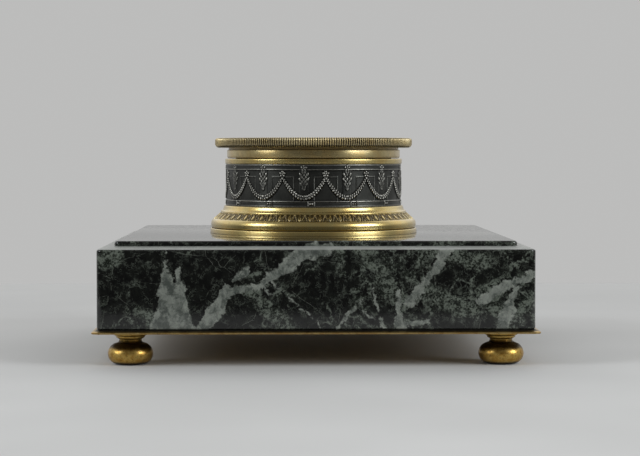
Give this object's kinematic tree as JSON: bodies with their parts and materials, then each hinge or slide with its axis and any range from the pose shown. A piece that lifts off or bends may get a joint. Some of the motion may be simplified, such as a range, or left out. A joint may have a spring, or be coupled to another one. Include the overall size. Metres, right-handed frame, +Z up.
{
  "type": "inkwell",
  "caption": "Desk inkwell: stepped square stone slab on bun feet, round metal drum with a hinged milled-edge lid over a lift-out ink pot.",
  "frame": {"origin": "on the surface the inkwell stands on, under the middle of the slab", "axes": "+Z up, -Y to the front, hinge at +Y, +X to the right seen from the front"},
  "size_m": [0.1434, 0.1434, 0.0736],
  "materials": {
    "green_marble": "polished, veined",
    "drum_brass": "satin, light patina",
    "lid_brass": "satin, light patina",
    "foot_brass": "antique, dark patina in the recesses",
    "plate_brass": "antique, dark patina",
    "dark_relief": "oxidised, silvered high points",
    "porcelain": "white glaze",
    "fixing_steel": "aged"
  },
  "bodies": {
    "base": {"foot_front_left": "foot_brass", "foot_front_right": "foot_brass", "foot_rear_left": "foot_brass", "foot_rear_right": "foot_brass", "foot_nut_front_left": "fixing_steel", "foot_nut_front_right": "fixing_steel", "foot_nut_rear_left": "fixing_steel", "foot_nut_rear_right": "fixing_steel", "base_plate": "plate_brass", "marble_base": "green_marble", "drum_plinth": "drum_brass", "leaf_moulding": "drum_brass", "frieze_band": "dark_relief", "collar_ring": "drum_brass", "well_liner": "drum_brass", "fixing_bolt": "fixing_steel", "fixing_washer": "fixing_steel", "fixing_nut": "fixing_steel", "hinge_collar_leaf": "drum_brass", "hinge_pin": "fixing_steel", "hinge_collar_screw_left": "fixing_steel", "hinge_collar_screw_right": "fixing_steel"},
    "lid": {"lid_cap": "lid_brass", "lid_ring": "lid_brass", "hinge_lid_leaf": "lid_brass", "hinge_lid_screw_left": "fixing_steel", "hinge_lid_screw_right": "fixing_steel"},
    "pot": {"ink_pot": "porcelain"}
  },
  "joints": [
    {"name": "lid_hinge", "type": "hinge", "parent": "base", "child": "lid", "pos_m": [0, 0.034, 0.0665], "axis": [-1, 0, 0], "range_deg": [0, 105]},
    {"name": "pot_lift", "type": "slide", "parent": "base", "child": "pot", "axis": [0, 0, 1], "range_m": [0, 0.0275]}
  ],
  "couplings": [
    {"joint": "pot_lift", "follows": "lid_hinge", "m_per_rad": 0.015}
  ]
}
